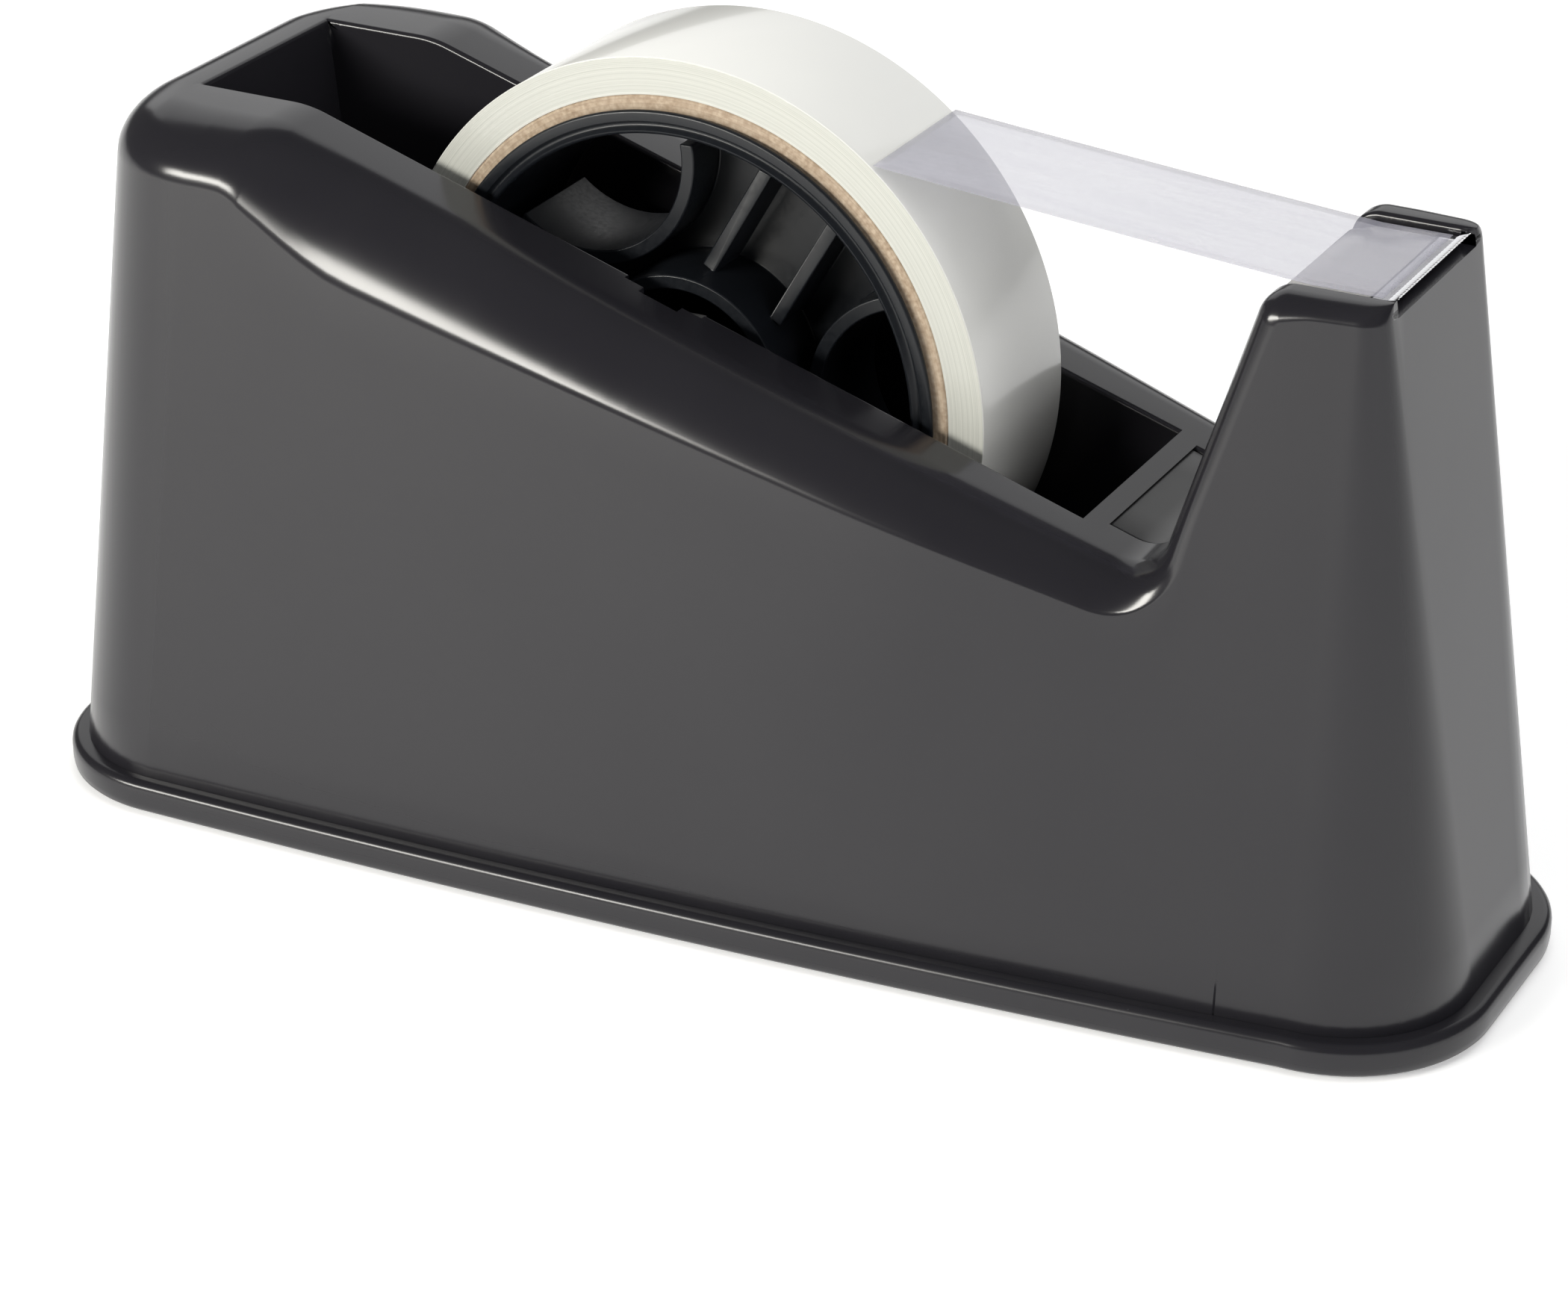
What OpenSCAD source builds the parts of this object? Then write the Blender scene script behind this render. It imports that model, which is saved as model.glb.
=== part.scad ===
// Weighted desktop dispenser for adhesive tape on a 3 inch card core.
// +X runs from the tail to the cutter, +Z is up, and the origin is on the
// surface it stands on, under the middle of the base.

/* [Roll] */
// Inner radius of the card core
core_r = 38.1; // [32:0.1:46]
// Wall of the card core
core_t = 3; // [1.5:0.1:5]
// Depth of tape wound on the core
tape_t = 5.4; // [2:0.1:12]
// Width of the tape
tape_w = 25; // [19:0.5:32]
// Thickness of the film
film_t = 0.2; // [0.1:0.05:0.4]
// Where the film leaves the roll, in degrees above the forward direction
peel_angle = 51; // [35:1:70]

/* [Well] */
// Space behind the roll
gap_rear = 28.75; // [15:0.25:40]
// Space in front of the roll
gap_front = 16.75; // [10:0.25:30]
// Space under the roll
gap_below = 8.7; // [4:0.1:15]
// Space at each side of the roll
gap_side = 3.5; // [2.5:0.1:6]
// Height of the well's floor
floor_z = 17.5; // [15:0.5:26]
// Lean of the well's end walls from upright
well_lean = 6; // [0:1:12]
// Radius at the foot of the well's end walls
well_foot_r = 12; // [4:1:14]

/* [Body] */
// Length of the tail, from the end of the base to the well
tail_l = 22; // [20:0.5:34]
// Length of the nose, from the well to the front of the base
nose_l = 59.5; // [54:0.5:75]
// Width of the body beside the well, at mid length
side_block = 24.5; // [20:0.5:34]
// Height of the rear crest above the axle
crest_rise = 32.1; // [26:0.1:40]
// Moulded wall
wall = 2.5; // [1.8:0.1:3.5]
// Lost half width from mid length to the nose, and gained to the tail
side_taper = 7.3; // [0:0.1:9]
// Bow of the sides
side_bow = 3.4; // [0:0.1:5]
// Lean of the tail over the body's height
rear_lean = 9.5; // [4:0.5:14]
// Lean of the front face over the body's height
front_lean = 16.5; // [8:0.5:20]
// Draft of each side over the body's height
side_draft = 6.5; // [3:0.5:9]
// Further draft of each side of the tower
tower_draft = 4.5; // [0:0.5:6]
// Radius of the crest where the long slope starts
crest_r = 18; // [8:1:30]
// Flat length of the rear crest in front of the well's rear edge
crest_l = 18; // [8:1:30]
// Fall of the rim towards the valley, in degrees
rim_fall = 17.5; // [12:0.5:20]
// Steepness of the tower's rear face, in degrees
tower_rise = 73.8; // [65:0.2:85]
// Distance from the well's front edge to the tower's rear crest
valley_l = 24.8; // [20:0.2:32]
// Radius of the valley
valley_r = 6; // [4:0.5:12]
// Radius of the tower's rear crest
tower_r = 4; // [2:0.5:6]

/* [Base] */
// Height of the base flange's top edge
base_h = 5.5; // [4.5:0.1:8]
// Width of the flange beyond the body
ledge = 2; // [1:0.1:5]
// Corner radius of the base
corner_r = 22; // [20:1:32]
// Lost radius of the front corners over the body's height
front_crisp = 16.5; // [10:0.5:22]
// Lost radius of the rear corners over the body's height
rear_crisp = 0; // [0:0.5:10]
// Thickness of the base floor
base_t = 2; // [1.5:0.1:3]
// Thickness of the non-slip pad
pad_t = 1.5; // [1:0.1:3]
// How far the pad stands below the base
pad_proud = 0.5; // [0.2:0.1:1]
// Room left around the pad and the ballast
seat_gap = 0.3; // [0.1:0.1:0.6]

/* [Axle and hub] */
// Radius of the steel axle
axle_r = 3; // [2:0.1:4]
// Radial clearance of the running fits
run_fit = 0.05; // [0.02:0.01:0.1]
// Depth of the axle slots in the well walls
slot_depth = 3; // [2:0.1:4]
// Wall of the hub's ring
ring_t = 5; // [3:0.1:8]
// Radius of the hub's boss tube
boss_r = 15.5; // [12:0.1:17]
// Distance between the two ribs of a spoke
spoke_w = 12; // [8:0.5:16]
// Thickness of ribs and webs in the hub
rib_t = 2; // [1.2:0.1:3]
// Least distance from the axle to an opening in the hub
gap_near = 19.5; // [18:0.5:24]
// Half the angle that an opening takes of the hub's ring
gap_half = 26; // [18:1:34]
// Number of spokes, with as many openings between them
spokes = 3; // [2:1:4]

/* [Cutter] */
// Room between the tape and the cheeks
cheek_gap = 1.5; // [1:0.1:3]
// Thickness of the landing plate
plate_t = 1.2; // [0.8:0.1:2]
// Length of the cutter strip
blade_l = 4.2; // [3:0.1:7]
// Thickness of the cutter strip
blade_t = 0.8; // [0.4:0.1:1.2]
// Pitch of the cutter's teeth
tooth_pitch = 1.2; // [0.8:0.1:2]
// Depth of the cutter's teeth
tooth_d = 1; // [0.5:0.1:1.8]
// Drop of the landing plate's top below the cheeks
plate_drop = 1.1; // [0.6:0.1:2]
// Thickness of the tower's back panel
panel_t = 1.8; // [1.2:0.1:3]

/* [Fastening] */
// Radius of the base screws' shanks
screw_r = 1.5; // [1:0.1:2]
// Radius of the base screws' heads
head_r = 3.2; // [2.4:0.1:4]
// Radius of the screw bosses
post_r = 4.5; // [3.5:0.1:5.5]
// Length of the base screws under their heads
screw_l = 14; // [10:0.5:20]

/* [Hidden] */
$fn = 96;

ARC_STEPS = 10;
CORNER_STEPS = 8;
SIDE_STEPS = 12;
LEVELS = 4;
OPEN = 200;
SLIVER = 0.1;

roll_r = core_r + core_t + tape_t;
well_l = gap_rear + 2 * roll_r + gap_front;
well_half = tape_w / 2 + gap_side;
base_l = tail_l + well_l + nose_l;
base_half = well_half + side_block;
well_rear = tail_l - base_l / 2;
well_front = well_rear + well_l;
roll_x = well_rear + gap_rear + roll_r;
roll_z = floor_z + gap_below + roll_r;
body_h = roll_z + crest_rise;
tower_x = well_front + valley_l;

pad_z = pad_t - pad_proud;
tray_z = pad_proud;
tray_floor = tray_z + pad_z + base_t;
head_h = 2.1;
head_z = tray_z + pad_z + SLIVER;
post_x = [well_rear + 28, well_front - 20];
post_y = well_half + wall + post_r - 0.5;

channel_half = tape_w / 2 + cheek_gap;
panel_drop = 0.4;
panel_fit = 0.1;
panel_start = well_front + 3;
plate_top = body_h - plate_drop;
blade_tip = base_l / 2 - ledge - front_lean * plate_top / body_h - 0.3;
plate_end = blade_tip - blade_l;

ring_r = core_r - 0.1;
hub_in = ring_r - ring_t;
hub_half = tape_w / 2 + 0.4;
lip_t = 1;
lip_rise = 1.4;
// Each opening is the lens between the ring and a circle that meets it at gap_half.
gap_reach = (hub_in * hub_in - gap_near * gap_near) / (2 * (hub_in * cos(gap_half) - gap_near));

// Headings and corners of the side outline.
function heading(a) = [cos(a), sin(a)];
function left_of(a) = [-sin(a), cos(a)];
function meet(p, a, q, b) =
    let (gap = q - p, across = sin(b - a))
    p + heading(a) * (gap[0] * sin(b) - gap[1] * cos(b)) / across;
// The arc of radius r that turns heading a into heading b at the corner v.
function turn(v, a, b, r) =
    let (side = sign(b - a),
         start = v - heading(a) * r * tan(abs(b - a) / 2),
         centre = start + side * r * left_of(a))
    [for (i = [0 : ARC_STEPS])
        centre - side * r * left_of(a + (b - a) * i / ARC_STEPS)];
function reversed(list) = [for (i = [len(list) - 1 : -1 : 0]) list[i]];

// The rim seen from the side, set down into the body by d.
rim_start = [well_rear + crest_l, body_h];
function slope_point(d) = rim_start - d * left_of(-rim_fall);
function tower_point(d) = [tower_x, body_h] - d * left_of(tower_rise);
function crest_corner(d) = meet([0, body_h - d], 0, slope_point(d), -rim_fall);
function valley_corner(d) = meet(slope_point(d), -rim_fall, tower_point(d), tower_rise);
function tower_corner(d) = meet(tower_point(d), tower_rise, [0, body_h - d], 0);
function valley_arc(d) = turn(valley_corner(d), -rim_fall, tower_rise, valley_r + d);
function rim_line(d) = concat(
    [[-OPEN, body_h - d]],
    turn(crest_corner(d), 0, -rim_fall, crest_r - d),
    valley_arc(d),
    turn(tower_corner(d), tower_rise, 0, max(tower_r - d, 0.3)),
    [[OPEN, body_h - d]]);
module side_profile(d) {
    polygon(concat(rim_line(d), [[OPEN, -OPEN], [-OPEN, -OPEN]]));
}
// The valley and the tower's rear face only, from the panel's seam upwards.
function panel_line(d, end_z) =
    let (seam = meet(slope_point(d), -rim_fall, [panel_start, 0], 90),
         top = meet(tower_point(d), tower_rise, [0, end_z], 0))
    concat([seam], valley_arc(d), [top]);

// The plan of the base at inset 0 and height 0, and of the drafted body.
function smooth(t) = let (c = min(max(t, 0), 1)) c * c * (3 - 2 * c);
function draft(x) = side_draft + tower_draft * smooth((x - base_l / 11) / (base_l / 4));
function side_half(x, z, inset) =
    let (u = 2 * x / base_l)
    base_half - side_taper * u - side_bow * u * u - inset - draft(x) * z / body_h;
function front_x(z, inset) = base_l / 2 - inset - front_lean * z / body_h;
function rear_x(z, inset) = -base_l / 2 + inset + rear_lean * z / body_h;
function front_r(z, inset) = max(corner_r - inset - front_crisp * z / body_h, 1.5);
function rear_r(z, inset) = max(corner_r - inset - rear_crisp * z / body_h, 2);
function corner(x, half, r, a0, a1) =
    [for (i = [0 : CORNER_STEPS])
        let (a = a0 + (a1 - a0) * i / CORNER_STEPS)
        [x + r * cos(a), half - r + r * sin(a)]];
function half_loop(z, inset) =
    let (rf = front_r(z, inset), rr = rear_r(z, inset),
         xf = front_x(z, inset) - rf, xr = rear_x(z, inset) + rr)
    concat(corner(xf, side_half(xf, z, inset), rf, 0, 90),
           [for (i = [1 : SIDE_STEPS - 1])
               let (x = xf + (xr - xf) * i / SIDE_STEPS)
               [x, side_half(x, z, inset)]],
           corner(xr, side_half(xr, z, inset), rr, 90, 180));
function plan_loop(z, inset) =
    let (half = half_loop(z, inset))
    concat(half, reversed([for (p = half) [p[0], -p[1]]]));

// The drafted solid that the plan sweeps between two heights.
module plan_loft(inset, z0, z1) {
    loops = [for (k = [0 : LEVELS])
        let (z = z0 + (z1 - z0) * k / LEVELS)
        [for (p = plan_loop(z, inset)) [p[0], p[1], z]]];
    n = len(loops[0]);
    points = [for (loop = loops) for (p = loop) p];
    sides = [for (k = [0 : LEVELS - 1]) for (i = [0 : n - 1])
        let (a = k * n + i, b = k * n + (i + 1) % n)
        each [[a, a + n, b + n], [a, b + n, b]]];
    floor_face = [for (i = [0 : n - 1]) i];
    roof_face = [for (i = [n - 1 : -1 : 0]) LEVELS * n + i];
    polyhedron(points, concat(sides, [floor_face, roof_face]));
}
module plan_plate(inset, z0, z1) {
    translate([0, 0, z0]) linear_extrude(z1 - z0) polygon(plan_loop(0, inset));
}
// A side outline drawn in X and Z, as wide as 2 * half.
module across(half) {
    rotate([90, 0, 0]) linear_extrude(2 * half, center = true) children();
}
// A round bar along Y at the axle.
module on_axle(r, y0, y1) {
    translate([roll_x, y1, roll_z]) rotate([90, 0, 0]) cylinder(h = y1 - y0, r = r);
}
module block(x0, x1, y0, y1, z0, z1) {
    translate([x0, y0, z0]) cube([x1 - x0, y1 - y0, z1 - z0]);
}
module at_posts() {
    for (x = post_x) for (side = [-1, 1]) translate([x, side * post_y, 0]) children();
}

// The well in side view, grown by d.
module well_profile(d) {
    rear_a = -90 + well_lean;
    front_a = 90 - well_lean;
    rear_p = [well_rear - d, body_h];
    front_p = [well_front + d, meet(slope_point(0), -rim_fall, [well_front, 0], 90)[1]];
    foot_r = well_foot_r + d;
    polygon(concat(
        [rear_p - heading(rear_a) * 30],
        turn(meet(rear_p, rear_a, [0, floor_z - d], 0), rear_a, 0, foot_r),
        turn(meet([0, floor_z - d], 0, front_p, front_a), 0, front_a, foot_r),
        [front_p + heading(front_a) * 80]));
}
module axle_slots() {
    slot_r = axle_r + run_fit;
    on_axle(slot_r, -well_half - slot_depth, well_half + slot_depth);
    block(roll_x - slot_r, roll_x + slot_r, -well_half - slot_depth, well_half + slot_depth,
          roll_z, OPEN);
    // The slots are wider and shallower near the rim, which leads the axle in.
    block(roll_x - 2 * axle_r, roll_x + 2 * axle_r, -well_half - slot_depth / 2,
          well_half + slot_depth / 2, roll_z + 4 * axle_r, OPEN);
}
module slot_blocks() {
    block(roll_x - 3 * axle_r, roll_x + 3 * axle_r, -well_half - slot_depth - wall,
          well_half + slot_depth + wall, roll_z - 3 * axle_r, OPEN);
}
module tower_recess() {
    across(channel_half + panel_fit)
        polygon(concat(panel_line(-4, plate_top + 8),
                       reversed(panel_line(panel_drop + panel_t + panel_fit,
                                           plate_top - plate_t))));
    block(tower_x - 3, OPEN, -channel_half - panel_fit, channel_half + panel_fit,
          plate_top - plate_t, OPEN);
}
module blade_slot(fit) {
    block(plate_end + 0.3 - fit, plate_end + 0.3 + blade_t + fit, -channel_half + 0.6 - fit,
          channel_half - 0.6 + fit, plate_top - 7 - fit, plate_top - plate_t + SLIVER);
}

module body_shell() {
    color([0.10, 0.10, 0.11])
    difference() {
        intersection() {
            plan_loft(ledge, base_h, body_h + 1);
            across(OPEN) side_profile(0);
        }
        difference() {
            intersection() {
                plan_loft(ledge + wall, base_h - 1, body_h + 1);
                across(OPEN) side_profile(wall);
            }
            across(well_half + wall) well_profile(wall);
            slot_blocks();
            across(channel_half + wall)
                polygon(concat(panel_line(wall - 1, plate_top),
                               reversed(panel_line(2 * wall + panel_t, plate_top - 1))));
            block(tower_x - 1, OPEN, -channel_half - wall, channel_half + wall,
                  plate_top - 9, OPEN);
            at_posts() cylinder(h = floor_z + 20, r = post_r);
        }
        across(well_half) well_profile(0);
        axle_slots();
        tower_recess();
        blade_slot(0.15);
        at_posts() translate([0, 0, base_h - 1]) cylinder(h = screw_l, r = screw_r + run_fit);
    }
}
module tower_back_panel() {
    color([0.16, 0.16, 0.17])
    across(channel_half)
        polygon(concat(panel_line(panel_drop, plate_top - plate_t - SLIVER),
                       reversed(panel_line(panel_drop + panel_t, plate_top - plate_t - SLIVER))));
}
module landing_plate() {
    rear = tower_x + 0.6;
    half = channel_half - 0.6;
    cut = 4;
    color([0.80, 0.80, 0.82])
    translate([0, 0, plate_top - plate_t]) linear_extrude(plate_t)
        polygon([[rear, -half], [plate_end, -half], [plate_end, half], [rear + cut, half],
                 [rear, half - cut]]);
}
module cutter_blade() {
    half = channel_half - 0.6;
    teeth = floor(2 * half / tooth_pitch);
    first = -teeth * tooth_pitch / 2;
    root_x = blade_tip - tooth_d;
    color([0.85, 0.85, 0.87]) {
        translate([0, 0, plate_top - blade_t]) linear_extrude(blade_t)
            polygon(concat(
                [[plate_end + 0.3, half], [plate_end + 0.3, -half], [root_x, -half]],
                [for (i = [0 : teeth - 1]) each [
                    [root_x, first + i * tooth_pitch],
                    [blade_tip, first + (i + 0.5) * tooth_pitch]]],
                [[root_x, half]]));
        block(plate_end + 0.3, plate_end + 0.3 + blade_t, -half, half, plate_top - 7,
              plate_top - blade_t / 2);
    }
}
module base_tray() {
    rib_top = base_h + 3.5;
    // The shell leans inwards from its foot up, most of all in front.
    rib = ledge + wall + seat_gap + front_lean * rib_top / body_h;
    color([0.07, 0.07, 0.08])
    difference() {
        union() {
            plan_plate(0, tray_z, base_h);
            plan_plate(rib, tray_z, rib_top);
        }
        difference() {
            plan_plate(rib + 1.5, tray_floor, base_h + 5);
            at_posts() translate([0, 0, tray_z]) cylinder(h = base_h - tray_z, r = post_r + 1.5);
        }
        plan_plate(ledge + 1, 0, tray_z + pad_z);
        at_posts() cylinder(h = base_h + 5, r = screw_r + 0.3);
        at_posts() cylinder(h = head_z + head_h + SLIVER, r = head_r + 0.4);
    }
}
module ballast_plate() {
    lift = tray_floor + SLIVER;
    color([0.35, 0.34, 0.33])
    difference() {
        plan_plate(ledge + 4 * wall, lift, floor_z - wall - 0.4);
        at_posts() cylinder(h = floor_z, r = post_r + 1.5 + seat_gap);
    }
}
module base_screws() {
    color([0.70, 0.70, 0.72])
    at_posts() difference() {
        union() {
            translate([0, 0, head_z]) cylinder(h = head_h, r1 = head_r - 0.5, r2 = head_r);
            translate([0, 0, head_z]) cylinder(h = head_h + screw_l - 3, r = screw_r);
        }
        for (turned = [0, 90]) rotate([0, 0, turned])
            translate([-head_r / 2, -0.4, head_z - 1]) cube([head_r, 0.8, 2]);
    }
}
module non_slip_pad() {
    color([0.20, 0.20, 0.20]) plan_plate(ledge + 1 + seat_gap, 0, pad_t - SLIVER);
}
module axle_pin() {
    tip = well_half + slot_depth - 0.3;
    color([0.75, 0.75, 0.77]) on_axle(axle_r, -tip, tip);
}
// The circles that cut the openings between the spokes, grown by grow.
module hub_gaps(grow) {
    for (i = [0 : spokes - 1]) rotate(i * 360 / spokes) translate([gap_reach, 0])
        circle(gap_reach - gap_near + grow);
}
// The pairs of ribs that run from the boss to the ring.
module spoke_ribs() {
    intersection() {
        circle(hub_in);
        for (i = [0 : spokes - 1]) rotate(180 + i * 360 / spokes) for (side = [-1, 1])
            translate([boss_r - rib_t / 2, side * spoke_w / 2 - rib_t / 2])
                square([hub_in, rib_t]);
    }
}
// A flat wheel outline stood up on the axle, from y0 to y1.
module wheel_slice(y0, y1) {
    translate([roll_x, y1, roll_z]) rotate([90, 0, 0]) linear_extrude(y1 - y0) children();
}
module hub_rim() {
    color([0.09, 0.10, 0.12]) {
        wheel_slice(-hub_half, hub_half) difference() { circle(ring_r); circle(hub_in); }
        wheel_slice(-hub_half - lip_t, -hub_half) difference() {
            circle(core_r + lip_rise);
            circle(hub_in + 1);
        }
    }
}
module hub_spider() {
    rib_half = hub_half - 4.5;
    color([0.09, 0.10, 0.12]) {
        wheel_slice(-rib_t / 2, rib_t / 2) difference() {
            circle(hub_in);
            hub_gaps(0);
            circle(axle_r + run_fit);
        }
        wheel_slice(-rib_half, rib_half) intersection() {
            circle(hub_in);
            difference() {
                hub_gaps(rib_t);
                hub_gaps(0);
            }
        }
        wheel_slice(-rib_half, rib_half) spoke_ribs();
        wheel_slice(-hub_half, hub_half) difference() { circle(boss_r); circle(boss_r - rib_t); }
        wheel_slice(-hub_half, hub_half) difference() {
            circle(2 * axle_r);
            circle(axle_r + run_fit);
        }
    }
}
module tape_core() {
    color([0.78, 0.69, 0.57]) wheel_slice(-tape_w / 2, tape_w / 2) difference() {
        circle(core_r + core_t);
        circle(core_r);
    }
}
module tape_winding() {
    color([0.87, 0.88, 0.84, 0.9]) wheel_slice(-tape_w / 2, tape_w / 2) difference() {
        circle(roll_r);
        circle(core_r + core_t + 0.02);
    }
}
module tape_strip() {
    off = 0.3;
    start = [roll_x, roll_z] + (roll_r + off) * heading(peel_angle);
    bottom = plate_top + off;
    rest_x = tower_x + 4;
    color([0.88, 0.88, 0.94, 0.5])
    across(tape_w / 2)
        polygon([start, [rest_x, bottom], [blade_tip + 0.5, bottom],
                 [blade_tip + 0.5, bottom + film_t], [rest_x, bottom + film_t],
                 start + [0, film_t]]);
}

body_shell();
tower_back_panel();
landing_plate();
cutter_blade();
base_tray();
ballast_plate();
base_screws();
non_slip_pad();
axle_pin();
hub_rim();
hub_spider();
tape_core();
tape_winding();
tape_strip();
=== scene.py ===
"""The looks of a weighted desktop tape dispenser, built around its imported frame.

Lengths are in millimetres until a mesh is made. X runs from the tail to the cutter, Y across the
tape and Z up. Shapes are surfaces worked out as whole arrays: grids of rows and columns, sections
carried along a line, and profiles turned about the axle.
"""
import math

import bmesh
import bpy
import numpy as np
from mathutils import Matrix, Vector


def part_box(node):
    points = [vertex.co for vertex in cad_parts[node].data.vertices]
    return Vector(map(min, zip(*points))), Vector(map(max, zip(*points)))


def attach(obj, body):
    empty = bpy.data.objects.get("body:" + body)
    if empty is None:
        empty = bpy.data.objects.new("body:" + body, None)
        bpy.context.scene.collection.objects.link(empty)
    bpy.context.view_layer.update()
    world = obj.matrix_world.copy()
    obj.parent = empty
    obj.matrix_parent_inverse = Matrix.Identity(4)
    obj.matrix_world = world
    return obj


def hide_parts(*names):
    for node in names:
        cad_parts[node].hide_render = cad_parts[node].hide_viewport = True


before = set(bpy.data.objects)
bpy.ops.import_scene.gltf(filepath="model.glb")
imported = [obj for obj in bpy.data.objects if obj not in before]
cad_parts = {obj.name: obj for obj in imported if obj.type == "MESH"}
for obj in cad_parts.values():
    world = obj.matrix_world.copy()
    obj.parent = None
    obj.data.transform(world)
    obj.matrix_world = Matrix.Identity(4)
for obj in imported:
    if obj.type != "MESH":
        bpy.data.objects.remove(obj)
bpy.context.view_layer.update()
MM = 0.001


def box_mm(node):
    """The lowest and highest corner of a frame node, in millimetres."""
    low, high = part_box(node)
    return np.array(low) / MM, np.array(high) / MM


# ------------------------------------------------------------------ sizes

shell_low, shell_high = box_mm("body_shell")
tape_low, tape_high = box_mm("tape_winding")
core_low, core_high = box_mm("tape_core")
plate_low, plate_high = box_mm("landing_plate")
blade_low, blade_high = box_mm("cutter_blade")
film_low, film_high = box_mm("tape_strip")
rim_low, rim_high = box_mm("hub_rim")

HALF_L = box_mm("base_tray")[1][0]
BODY_H = shell_high[2]
BASE_H = shell_low[2]
PLATE_TOP = plate_high[2]

# The roll: the axle's place, and the outer sizes of the tape and of its card core.
ROLL_X = (tape_low[0] + tape_high[0]) / 2
ROLL_Z = (tape_low[2] + tape_high[2]) / 2
ROLL_R = (tape_high[0] - tape_low[0]) / 2
TAPE_HALF = tape_high[1]
CARD_R = (core_high[0] - core_low[0]) / 2
CARD_T = 3
RIM_T = 2
AXLE_R = 3

# The walls: half width, taper and bow of the base in plan, then how far each wall leans in.
LEDGE = 2.0
SKIN = 2
MID_HALF = 40.5
SIDE_TAPER = 7.3
SIDE_BOW = 3.4
SIDE_DRAFT = 6.5
TOWER_DRAFT = 4.5
TOWER_DRAFT_X = HALF_L / 5.5
TOWER_DRAFT_RUN = HALF_L / 2
REAR_LEAN = 9.5
FRONT_LEAN = 16.5

# The upright corners: their radius at the base, and what they lose on the way up.
CORNER_R = 22
FRONT_CRISP = 16.5
REAR_CRISP = 0
LEAST_R = 1.5

# The well that holds the roll.
WELL_HALF = 16
WELL_REAR = ROLL_X - ROLL_R - 28.75
WELL_FRONT = ROLL_X + ROLL_R + 16.75
WELL_FLOOR = 17.5
WELL_LEAN = 6
WELL_FOOT_R = 12
SLOT_DEPTH = 3
SLOT_LEAD_DEPTH = 1.5
SLOT_LEAD_RISE = 4 * AXLE_R
SHELF_SHARE = 0.3

# The rim in side view: crest, slope, valley and tower, and the channel for panel and plate.
RIM_START = (WELL_REAR + 18, BODY_H)
RIM_FALL = -17.5
TOWER_X = WELL_FRONT + 24.8
TOWER_RISE = 73.8
CREST_R = 18
VALLEY_R = 6
TOWER_R = 4
SEAM_X = WELL_FRONT + 3
PANEL_HALF = box_mm("tower_back_panel")[1][1]
CHANNEL = PANEL_HALF + 0.1
CHANNEL_FLOOR = PLATE_TOP - 1.2
CHANNEL_FROM = TOWER_X + 1.5
RECESS = 3.2
EDGE = 0.7

# The rolled shoulder: how far it reaches down the side and in across the rim.
TAIL_DROP = 7.5
HAUNCH_DROP = 5
SLOPE_LOSS = 7.2
TOWER_DROP = 3.6
CREST_DROP = BODY_H - CHANNEL_FLOOR
TAIL_REACH = 7.5
SHOULDER_SHARE = 0.62
CREASE_TURN = 24

# Where along X the shoulder changes, and over what run.
HAUNCH_X, HAUNCH_RUN = WELL_REAR + 12, 26
SLOPE_X, SLOPE_RUN = WELL_REAR + 38, WELL_FRONT - WELL_REAR - 30
VALLEY_X, VALLEY_RUN = WELL_FRONT + 8, 9
TOWER_RUN = 8
CREASE_X, CREASE_RUN = WELL_REAR + 14, 20
CREASE_END_RUN = 8
CHEEK_X, CHEEK_RUN = TOWER_X - 16, 14
FOOT_BY_X = 0.6

# Rows and columns of the shell's grids.
WALL_ROWS = 12
SHOULDER_ROWS = 14
EDGE_ROWS = 5
ACROSS = np.linspace(1, 0, 7)
FRONT_TURN = np.linspace(0, 90, 12)
SIDE_REAR_TURN = np.linspace(90, 60, 5)
TAIL_TURN = np.linspace(60, 0, 9)
NUDGE = 1e-4
NEARLY_NOTHING = 1e-6

PANEL_GAP = 0.4
TOOTH = 1.5
FILM_LIFT = 0.35


# ------------------------------------------------------------------ meshes

MERGE = 2e-6
COLLAPSE = 1e-6


def piece(name, points, faces, body, material, sharp=35):
    """A mesh from points in millimetres: doubles merged, flat faces dropped, normals outwards."""
    mesh = bpy.data.meshes.new(name)
    mesh.from_pydata((points * MM).tolist(), [], faces)
    work = bmesh.new()
    work.from_mesh(mesh)
    bmesh.ops.remove_doubles(work, verts=work.verts, dist=MERGE)
    bmesh.ops.dissolve_degenerate(work, edges=work.edges, dist=COLLAPSE)
    bmesh.ops.recalc_face_normals(work, faces=work.faces)
    work.to_mesh(mesh)
    work.free()
    return finish_piece(name, mesh, body, material, sharp)


def finish_piece(name, mesh, body, material, sharp):
    """Shades a mesh smooth up to an angle, gives it its material and lets it ride on a body."""
    mesh.shade_smooth()
    mesh.set_sharp_from_angle(angle=math.radians(sharp))
    mesh.materials.clear()
    mesh.materials.append(material)
    made = bpy.data.objects.new(name, mesh)
    bpy.context.scene.collection.objects.link(made)
    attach(made, body)
    return made


def grid_faces(rows, cols, closed=False):
    """The quads of a rows by cols grid of points; closed joins the last column to the first."""
    wide = cols if closed else cols - 1
    row, col = np.meshgrid(np.arange(rows - 1), np.arange(wide), indexing="ij")
    a = row * cols + col
    b = row * cols + (col + 1) % cols
    return np.stack([a, b, b + cols, a + cols], -1).reshape(-1, 4)


def capped_faces(rows, cols):
    """The faces of a solid made of closed sections, one in each row, with a lid on both ends."""
    lids = [list(range(cols)), list(range((rows - 1) * cols, rows * cols))]
    return grid_faces(rows, cols, closed=True).tolist() + lids


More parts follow.
